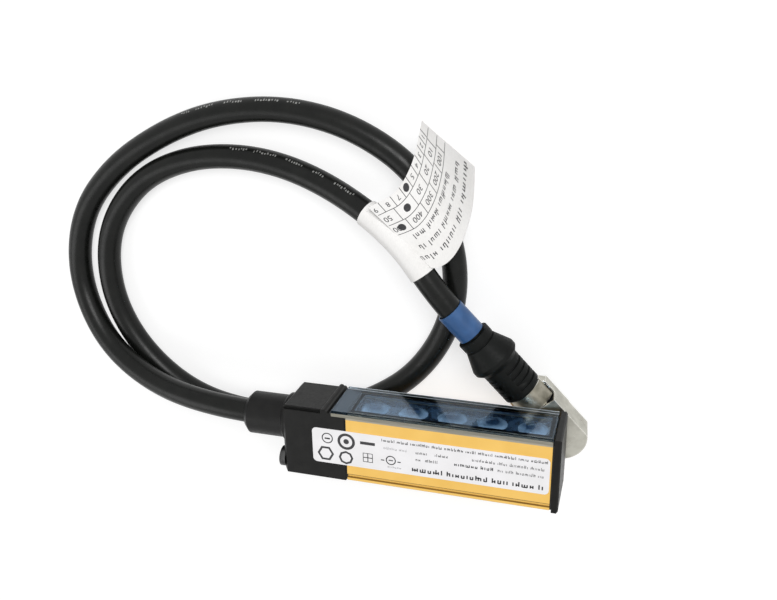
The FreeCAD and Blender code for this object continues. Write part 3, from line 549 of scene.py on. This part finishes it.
FINISHES = make_finishes()
NODE_FINISHES = {
    "housing_profile": "yellow_coat",
    "front_window": "clear_cover",
    "window_seal": "window_gasket",
    "lens_strip": "clear_lens",
    "optics_carrier": "black_mould",
    "circuit_board": "board",
    "photodiodes": "diode_epoxy",
    "board_chips": "chip_epoxy",
    "wire_header": "header_plastic",
    "cap_seal": "seal_rubber",
    "head_seal": "seal_rubber",
    "end_cap": "black_mould",
    "end_cap_screws": "screw_steel",
    "cable_head": "black_mould",
    "head_screws": "screw_steel",
    "cable_boot": "boot_rubber",
    "rating_label": "label_film",
    "marker_ring": "ring_blue",
    "plug_grip": "grip_rubber",
    "crimp_sleeve": "sleeve_metal",
    "plug_shell": "plug_metal",
    "plug_core": "core_plastic",
    "plug_contacts": "contact_gold",
}


def finish_nodes():
    """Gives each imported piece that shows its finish."""
    for name, finish in NODE_FINISHES.items():
        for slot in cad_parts[name].material_slots:
            slot.material = FINISHES[finish]


finish_nodes()

# ---- the lenses ----

# Each dome's rings of points, as shares of its radius.
LENS_RINGS = (1.0, 0.94, 0.84, 0.7, 0.54, 0.36, 0.18, 0.02)
LENS_SIDES = 48


def make_lenses():
    """The lens strip with smooth domes, in place of the model's flat-faced ones."""
    low, high = (Vector(corner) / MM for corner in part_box("lens_strip"))
    back, front = high.y, high.y - LENS_PLATE
    strip = Patch()
    corners = [(low.x, low.z), (high.x, low.z), (high.x, high.z), (low.x, high.z)]
    strip.grid([[(x, y, z) for x, z in corners] for y in (back, front)], closed=True)
    strip.face(*[(x, front, z) for x, z in corners])
    strip.face(*[(x, back, z) for x, z in reversed(corners)])
    half = LENS_WIDE / 2
    ball = (half ** 2 + LENS_RISE ** 2) / (2 * LENS_RISE)
    turns = [2 * math.pi * step / LENS_SIDES for step in range(LENS_SIDES)]
    for number in range(LENS_COUNT):
        middle = (number - (LENS_COUNT - 1) / 2) * LENS_PITCH
        rows = []
        for share in LENS_RINGS:
            radius = share * half
            rise = math.sqrt(ball ** 2 - radius ** 2) - (ball - LENS_RISE)
            rows.append([(middle + radius * math.cos(turn), front - rise, radius * math.sin(turn))
                         for turn in turns])
        strip.grid(rows, closed=True)
        strip.face(*rows[-1])
    lenses = strip.mesh("lenses", FINISHES["clear_lens"], "clear_lens", smooth=True)
    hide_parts("lens_strip")


make_lenses()

# ---- the cable ----

# How far the print lies above the jacket.
CORD_LIFT = 0.02


def make_cord():
    """The cable, replacing the model's plain tube."""
    cord = cord_curve("cord", CORD_RADIUS)
    cord.data.materials.append(FINISHES["cable_jacket"])
    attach(cord, "root")
    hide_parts("cable")
    return cord


def around_cord(distance, angle, radius):
    """A point at a radius from the cable's line; the angle goes from straight up to its left."""
    middle, forward = at_distance(distance)
    left = UP.cross(forward).normalized()
    above = forward.cross(left)
    return middle + (above * math.cos(angle) + left * math.sin(angle)) * radius


def cord_print(first, last, angle, seed):
    """A broken line of small white marks along the jacket, which stand for its print."""
    chance = random.Random(seed)
    marks = Patch()
    distance = first
    while distance < last:
        for _ in range(chance.randint(3, 9)):
            wide, tall = chance.uniform(0.25, 0.5), chance.uniform(0.45, 0.75)
            half = tall / 2 / CORD_RADIUS
            low = angle + chance.choice((-0.05, 0.0, 0.05))
            rows = [[around_cord(distance + step, low + half * side, CORD_RADIUS + CORD_LIFT)
                     for side in (-1, -0.33, 0.33, 1)] for step in (0, wide)]
            marks.grid(rows)
            distance += wide + chance.uniform(0.25, 0.45)
        distance += chance.uniform(1.2, 4.0)
    return marks


# ---- print, as plain marks ----

def disc(radius, sides=28):
    """A filled circle as one outline."""
    turns = [2 * math.pi * number / sides for number in range(sides)]
    return [(radius * math.cos(turn), radius * math.sin(turn)) for turn in turns]


def ring(radius, wide, sides=28, start=0.0):
    """A ring of so many sides as a row of four-cornered outlines."""
    turns = [start + 2 * math.pi * number / sides for number in range(sides + 1)]
    outer, inner = [[(reach * math.cos(turn), reach * math.sin(turn)) for turn in turns]
                    for reach in (radius, radius - wide)]
    return [[outer[i], outer[i + 1], inner[i + 1], inner[i]] for i in range(sides)]


def bar(x, y, wide, tall):
    """A rectangle with its middle at x, y."""
    return [(x - wide / 2, y - tall / 2), (x + wide / 2, y - tall / 2),
            (x + wide / 2, y + tall / 2), (x - wide / 2, y + tall / 2)]


# A row of marks, as shares of its height: gaps in a group, after a group and after a row of groups,
# the heights of its ticks, and how high the bars across them lie.
TICK_GAP = 0.2
GROUP_GAP = 0.14
WORD_GAP = 0.5
TICK_HEIGHTS = (0.62, 0.62, 0.75, 1.0)
BAR_HEIGHTS = (0.06, 0.3, 0.55)


def scribble(length, tall, heavy, chance):
    """A row of ticks and short bars, from 0 to a length: it looks like print and says nothing."""
    shapes = []
    stroke = tall * heavy
    gap = tall * TICK_GAP
    x = 0.0
    while x < length:
        for _ in range(chance.randint(3, 8)):
            ticks = chance.randint(1, 3)
            for _ in range(ticks):
                high = tall * chance.choice(TICK_HEIGHTS)
                shapes.append(bar(x + stroke / 2, high / 2, stroke, high))
                x += stroke + gap
            if ticks > 1:
                back = (ticks - 1) * (stroke + gap)
                shapes.append(bar(x - gap - back / 2 - stroke / 2,
                                  chance.choice(BAR_HEIGHTS) * tall, back, stroke))
            x += tall * GROUP_GAP
            if x > length:
                break
        x += tall * WORD_GAP
    return shapes


# The font size that gives digits a height of 1.
DIGIT_SIZE = 1.4


def number_outlines(text, tall):
    """A number's faces, laid flat about its own middle."""
    curve = bpy.data.curves.new("number", "FONT")
    curve.body = text
    curve.size = tall * DIGIT_SIZE
    curve.align_x = "CENTER"
    curve.align_y = "CENTER"
    curve.resolution_u = 4
    piece = bpy.data.objects.new("number", curve)
    bpy.context.scene.collection.objects.link(piece)
    bpy.context.view_layer.update()
    solved = piece.evaluated_get(bpy.context.evaluated_depsgraph_get())
    mesh = bpy.data.meshes.new_from_object(solved)
    outlines = [[tuple(mesh.vertices[i].co[:2]) for i in face.vertices] for face in mesh.polygons]
    bpy.data.objects.remove(piece)
    bpy.data.meshes.remove(mesh)
    return outlines


# ---- the rating label's print ----

# How far the print lies above the label.
LABEL_LIFT = 0.015
INK_LINES = [
    # start from the head's end, distance from the window's side, length, height, heaviness
    (19.0, 1.45, 41.5, 0.80, 0.19),
    (28.0, 3.75, 3.4, 0.85, 0.15),
    (33.0, 3.75, 3.2, 0.85, 0.15),
    (42.5, 3.55, 17.5, 0.85, 0.15),
    (28.0, 5.75, 1.0, 0.85, 0.17),
    (30.5, 5.75, 3.2, 0.85, 0.17),
    (38.0, 5.55, 9.5, 0.95, 0.24),
    (49.0, 5.55, 11.5, 0.85, 0.15),
    (27.0, 8.95, 33.0, 1.35, 0.26),
]
GREY_LINES = [(19.5, 3.6, 6.0, 0.75, 0.11), (20.5, 8.9, 3.6, 0.55, 0.14)]


def label_marks():
    """Round and square marks near the head, then the rows of print; all plain shapes."""
    shapes = []

    def put(outlines, x, y):
        shapes.extend([[(px + x, py + y) for px, py in outline] for outline in outlines])

    put(ring(1.55, 0.3) + [bar(0, 0.1, 1.5, 0.45)], 4.2, 2.7)
    put(ring(2.4, 0.75) + [disc(0.75)], 9.4, 3.0)
    put([bar(0, 0, 4.0, 0.85)], 15.2, 2.7)
    put(ring(2.3, 0.65, 6), 3.6, 7.3)
    put(ring(2.0, 0.6, 8), 9.2, 7.8)
    put(ring(1.9, 0.25, 4, math.pi / 4) + [bar(0, 0, 0.25, 2.6), bar(0, 0, 2.6, 0.25)], 15.2, 6.9)
    dashes = [bar(0, 0, 1.2, 0.3), bar(-2.2, 0.2, 0.9, 0.3), bar(2.2, 0.2, 0.9, 0.3)]
    put(ring(1.35, 0.28) + dashes, 21.4, 6.7)
    return shapes


def print_label():
    """Lays the marks on the rating label. Their x runs from the head towards the cap."""
    low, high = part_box("rating_label")
    head_end, window_side, top = high[0] / MM, low[1] / MM, high[2] / MM + LABEL_LIFT
    chance = random.Random(7)
    for name, lines, marks, finish in (("label_print", INK_LINES, label_marks(), "ink"),
                                       ("label_grey_print", GREY_LINES, [], "grey_ink")):
        print_piece = Patch()
        for start, down, length, tall, heavy in lines:
            marks.extend([[(x + start, down - y) for x, y in shape]
                          for shape in scribble(length, tall, heavy, chance)])
        for shape in marks:
            print_piece.face(*[(head_end - x, window_side + y, top) for x, y in shape])
        print_piece.mesh(name, FINISHES[finish], "label_film")


# ---- the paper flag ----

FLAG_LONG = 21.5
FLAG_THICK = 0.22
WRAP_RADIUS = CORD_RADIUS + 0.12
# The wrap's points along and about the cable, and how far most of them bulge outwards.
WRAP_STEPS = 24
WRAP_TURNS = 40
WRAP_BULGE = 0.05
# The leaf's points across and outwards, and the steps with which its length is worked out.
LEAF_ACROSS = 32
LEAF_OUT = 44
RUN_STEPS = 200
# The leaf's faint wave: one hump across it, and a smaller ripple, both growing outwards.
HUMP = 0.9
RIPPLE = 0.35
RIPPLE_START = 1.2
# The leaf's cross lines: along the cable, away from it and up from its middle, at each end.
LEAF_LINES = [
    ((0.0, 2.2, 2.9), (21.5, 2.3, 2.9)),
    ((1.0, 5.2, 2.7), (22.6, 3.6, 2.6)),
    ((2.1, 8.6, 2.2), (23.4, 6.0, 2.4)),
    ((1.9, 12.6, 1.2), (23.2, 9.6, 2.5)),
    ((0.1, 18.1, 0.3), (21.6, 14.6, 3.2)),
    ((-2.8, 23.3, -0.2), (17.8, 22.1, 5.6)),
    ((-4.8, 26.6, -0.3), (11.8, 30.2, 9.0)),
]


def flag_middle():
    """How far along the cable the flag's middle is: where the line passes its last bend."""
    bend = Vector(CORD_POINTS[-1])
    number = min(range(len(LINE)), key=lambda i: (LINE[i] - bend).length)
    return ALONG[number]


def through(points, place):
    """A smooth curve through points that starts at place 0 and ends at place 1."""
    spans = len(points) - 1
    number = min(int(place * spans), spans - 1)
    share = place * spans - number
    a, b, c, d = (points[max(0, min(spans, number + step))] for step in (-1, 0, 1, 2))
    return (b * 2 + (c - a) * share + (a * 2 - b * 5 + c * 4 - d) * share ** 2
            + (b * 3 - a - c * 3 + d) * share ** 3) / 2


class Leaf:
    """The flag's leaf as a smooth sheet: across runs along the cable, out runs away from it."""

    def __init__(self):
        middle = flag_middle()
        ends = [at_distance(middle + side * FLAG_LONG / 2)[0] for side in (-1, 1)]
        centre = at_distance(middle)[0]
        along = ends[1] - ends[0]
        along = Vector((along.x, along.y, 0)).normalized()
        away = Vector((-along.y, along.x, 0))
        start = centre - along * FLAG_LONG / 2
        self.sides = [[start + along * x + away * y + UP * z for x, y, z in side]
                      for side in zip(*LEAF_LINES)]
        self.places = [number / RUN_STEPS for number in range(RUN_STEPS + 1)]
        line = [through(self.sides[0], place).lerp(through(self.sides[1], place), 0.5)
                for place in self.places]
        self.runs = [0.0]
        for before, after in zip(line, line[1:]):
            self.runs.append(self.runs[-1] + (after - before).length)

    def place(self, out):
        """The place on the cross lines at a share of the sheet's length."""
        run = min(max(out, 0.0), 1.0) * self.runs[-1]
        number = 0
        while self.runs[number + 1] < run and number < len(self.runs) - 2:
            number += 1
        share = (run - self.runs[number]) / (self.runs[number + 1] - self.runs[number])
        return self.places[number] + share * (self.places[number + 1] - self.places[number])

    def flat(self, across, out):
        """A point of the sheet, with a faint wave in it."""
        place = self.place(out)
        left, right = (through(side, place) for side in self.sides)
        bow = HUMP * math.sin(math.pi * across)
        bow += RIPPLE * math.sin(2 * math.pi * across + RIPPLE_START)
        return left.lerp(right, across) + UP * (bow * out)

    def lifted(self, across, out, lift):
        """A point at a height over the sheet's upper side."""
        step = 0.01
        middle = self.flat(across, out)
        along = self.flat(min(across + step, 1), out) - self.flat(max(across - step, 0), out)
        outward = self.flat(across, min(out + step, 1)) - self.flat(across, max(out - step, 0))
        face = along.cross(outward).normalized()
        return middle + face * (lift if face.z > 0 else -lift)

    def scale(self, across, out):
        """How many millimetres one unit across, and one unit out, come to near a point."""
        step = 0.05
        wide = (self.flat(across + step, out) - self.flat(across - step, out)).length
        deep = (self.flat(across, out + step) - self.flat(across, max(out - step, 0))).length
        return wide / (2 * step), deep / (out + step - max(out - step, 0))


def flag_sheet(leaf):
    """The wrap about the cable and the leaf, as closed thin sheets in one piece."""
    paper = Patch()
    middle = flag_middle()
    steps, turns = WRAP_STEPS, WRAP_TURNS
    for radius in (WRAP_RADIUS, WRAP_RADIUS + FLAG_THICK):
        rows = []
        for i in range(steps + 1):
            distance = middle + (i / steps - 0.5) * FLAG_LONG
            rows.append([around_cord(distance, 2 * math.pi * j / turns,
                                     radius + (WRAP_BULGE if j % 3 else 0.0))
                         for j in range(turns)])
        paper.grid(rows, closed=True)
    outer = (steps + 1) * turns
    for row in (0, steps * turns):
        for j in range(turns):
            a, b = row + j, row + (j + 1) % turns
            paper.faces.append((a, b, outer + b, outer + a))
    long, deep = LEAF_ACROSS, LEAF_OUT
    starts = []
    for lift in (0.0, -FLAG_THICK):
        starts.append(len(paper.points))
        paper.grid([[leaf.lifted(i / long, j / deep, lift) for j in range(deep + 1)]
                    for i in range(long + 1)])
    top, under = starts
    # The grid's points along its four edges, in order around it.
    rim = [i * (deep + 1) for i in range(long + 1)]
    rim += [long * (deep + 1) + j for j in range(1, deep + 1)]
    rim += [i * (deep + 1) + deep for i in range(long - 1, -1, -1)]
    rim += list(range(deep - 1, 0, -1))
    for a, b in zip(rim, rim[1:] + rim[:1]):
        paper.faces.append((top + a, top + b, under + b, under + a))
    flag = paper.mesh("flag", FINISHES["paper"], "paper", smooth=True)
    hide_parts("flag_label")
    return flag


# How far the print, and the spots on it, lie above the leaf.
LEAF_LIFT = 0.03
SPOT_LIFT = 0.05
# Places are shares of the leaf's width, across, and of its length, out.
ROW_EDGES = (0.14, 0.31, 0.46)
RULE_WIDE = 0.16
# The lines stop, and the marks are held, this far inside the leaf's edges.
RULE_ENDS = (0.01, 0.99)
PRINT_EDGES = (0.004, 0.996)
RULE_STEPS = 60
NUMBER_ROWS = [
    # middle of the row across the leaf, height of its digits, first and last place out, numbers
    (0.07, 1.35, 0.022, 0.81, ["9", "8", "7", "6", "5", "4", "3", "2", "1"]),
    (0.225, 1.5, 0.045, 0.76, ["50", "40", "30", "20", "10"]),
    (0.385, 1.5, 0.06, 0.80, ["500", "400", "300", "200", "100"]),
]
SPOT_RADIUS = 0.95
PUNCHED = ((0.07, 0.318), (0.225, 0.224), (0.385, 0.085))
TEXT_HEAVY = 0.13
# middle of the row across the leaf, height of its marks, first and last place out
TEXT_ROWS = ((0.55, 1.5, 0.10, 0.74), (0.70, 1.5, 0.08, 0.82), (0.85, 1.6, 0.02, 0.86))


def print_flag(leaf):
    """The flag's table of plain numbers, its punched spots and its rows of marks."""
    marks = Patch()

    def held(place):
        return min(max(place, PRINT_EDGES[0]), PRINT_EDGES[1])

    def put(shapes, across, out, lift=LEAF_LIFT):
        """Lays flat shapes on the leaf; they are read towards the cable."""
        wide, deep = leaf.scale(across, out)
        for shape in shapes:
            marks.face(*[leaf.lifted(held(across + y / wide), held(out - x / deep), lift)
                         for x, y in shape])

    start, end = RULE_ENDS
    for edge in ROW_EDGES:
        half = RULE_WIDE / 2 / leaf.scale(edge, 0.5)[0]
        outs = [start + (end - start) * i / RULE_STEPS for i in range(RULE_STEPS + 1)]
        marks.grid([[leaf.lifted(edge + side * half, out, LEAF_LIFT) for side in (-1, 1)]
                    for out in outs])
    lows = (0.0,) + ROW_EDGES[:2]
    for (middle, tall, first, last, numbers), low, high in zip(NUMBER_ROWS, lows, ROW_EDGES):
        pitch = (last - first) / (len(numbers) - 1)
        for number, text in enumerate(numbers):
            out = first + number * pitch
            put(number_outlines(text, tall), middle, out)
            edge = out + pitch / 2
            if edge < end:
                half = RULE_WIDE / 2 / leaf.scale(middle, edge)[1]
                marks.grid([[leaf.lifted(low + (high - low) * i / 4, edge + side * half, LEAF_LIFT)
                             for i in range(5)] for side in (-1, 1)])
    for across, out in PUNCHED:
        put([disc(SPOT_RADIUS)], across, out, SPOT_LIFT)
    chance = random.Random(11)
    for across, tall, first, last in TEXT_ROWS:
        length = (last - first) * leaf.scale(across, 0.5)[1]
        for shape in scribble(length, tall, TEXT_HEAVY, chance):
            put([[(x - length, y - tall / 2) for x, y in shape]], across, first)
    marks.mesh("flag_print", FINISHES["ink"], "paper")


# ---- the floor and the lights ----

# The glow evens out the lamps' fall, so that the floor shows white far from the object too. These
# are its strengths near and far, the distances in metres, and its share for the rays that see it.
FLOOR_GLOW = 1.35
FAR_GLOW = 1.75
GLOW_NEAR = 0.2
GLOW_FAR = 0.9
FLOOR_SHARE = 0.5
FLOOR_REACH = 12.0
WORLD_LIGHT = 0.42
# The lamps' places and sizes are in metres, and their powers in watts.
LAMP_AIM = (0.04, -0.05, 0.0)
LAMPS = [("key", (-0.35, -0.55, 0.75), 0.5, 5.6), ("fill", (0.65, 0.25, 0.6), 0.6, 2.0)]


def seen_rays(nodes, links, share):
    """A share for the rays that show the background: the camera's, and those of gloss and glass."""
    path = nodes.new("ShaderNodeLightPath")
    total = path.outputs["Is Camera Ray"]
    for name in ("Is Glossy Ray", "Is Transmission Ray"):
        either = nodes.new("ShaderNodeMath")
        either.operation = "MAXIMUM"
        links.new(total, either.inputs[0])
        links.new(path.outputs[name], either.inputs[1])
        total = either.outputs[0]
    part = nodes.new("ShaderNodeMath")
    part.operation = "MULTIPLY"
    part.inputs[1].default_value = share
    links.new(total, part.inputs[0])
    return part.outputs[0]


def make_floor():
    """The plain floor: matt for the light on it, and glowing for the rays that show it."""
    mesh = bpy.data.meshes.new("floor")
    corners = [(x * FLOOR_REACH, y * FLOOR_REACH, FLOOR * MM)
               for x, y in ((-1, -1), (1, -1), (1, 1), (-1, 1))]
    mesh.from_pydata(corners, [], [(0, 1, 2, 3)])
    floor = bpy.data.objects.new("floor", mesh)
    bpy.context.scene.collection.objects.link(floor)
    material = bpy.data.materials.new("pale_floor")
    material.use_nodes = True
    nodes, links = material.node_tree.nodes, material.node_tree.links
    shader = nodes["Principled BSDF"]
    shader.inputs["Base Color"].default_value = (0.86, 0.86, 0.86, 1)
    shader.inputs["Roughness"].default_value = 0.9
    shader.inputs["Specular IOR Level"].default_value = 0.1
    glow = nodes.new("ShaderNodeEmission")
    away = nodes.new("ShaderNodeVectorMath")
    away.operation = "LENGTH"
    links.new(nodes.new("ShaderNodeTexCoord").outputs["Object"], away.inputs[0])
    level = nodes.new("ShaderNodeMapRange")
    for socket, number in (("From Min", GLOW_NEAR), ("From Max", GLOW_FAR),
                           ("To Min", FLOOR_GLOW), ("To Max", FAR_GLOW)):
        level.inputs[socket].default_value = number
    links.new(away.outputs["Value"], level.inputs["Value"])
    links.new(level.outputs["Result"], glow.inputs["Strength"])
    mix = nodes.new("ShaderNodeMixShader")
    links.new(seen_rays(nodes, links, FLOOR_SHARE), mix.inputs[0])
    links.new(shader.outputs[0], mix.inputs[1])
    links.new(glow.outputs[0], mix.inputs[2])
    links.new(mix.outputs[0], nodes["Material Output"].inputs["Surface"])
    mesh.materials.append(material)


def add_lamp(name, place, size, power):
    """A round soft lamp that points at the object."""
    data = bpy.data.lights.new(name, "AREA")
    data.shape = "DISK"
    data.size = size
    data.energy = power
    lamp = bpy.data.objects.new(name, data)
    bpy.context.scene.collection.objects.link(lamp)
    lamp.location = place
    lamp.rotation_euler = (Vector(place) - Vector(LAMP_AIM)).to_track_quat("Z", "Y").to_euler()


def make_light():
    """The world: it lights the object softly, and shows white; and the two lamps."""
    world = bpy.data.worlds.new("studio")
    bpy.context.scene.world = world
    world.use_nodes = True
    nodes, links = world.node_tree.nodes, world.node_tree.links
    light = nodes["Background"]
    light.inputs["Color"].default_value = (1, 1, 1, 1)
    light.inputs["Strength"].default_value = WORLD_LIGHT
    white = nodes.new("ShaderNodeBackground")
    white.inputs["Color"].default_value = (1, 1, 1, 1)
    white.inputs["Strength"].default_value = 1.0
    mix = nodes.new("ShaderNodeMixShader")
    links.new(seen_rays(nodes, links, 1.0), mix.inputs[0])
    links.new(light.outputs[0], mix.inputs[1])
    links.new(white.outputs[0], mix.inputs[2])
    links.new(mix.outputs[0], nodes["World Output"].inputs["Surface"])
    for lamp in LAMPS:
        add_lamp(*lamp)


# The cable's print: its turn about the cable, then each patch's name, place along it and seed.
PRINT_TURN = 0.95
CORD_PRINTS = [("cord_print_outer", 140, 170, 3), ("cord_print_inner", 448, 486, 5)]

make_floor()
make_light()
cord = make_cord()
leaf = Leaf()
flag = flag_sheet(leaf)
print_flag(leaf)
print_label()
for name, start, end, seed in CORD_PRINTS:
    cord_print(start, end, PRINT_TURN, seed).mesh(name, FINISHES["white_ink"], "cable_jacket")

# ---- the end ----

bpy.context.scene.view_settings.view_transform = "Standard"
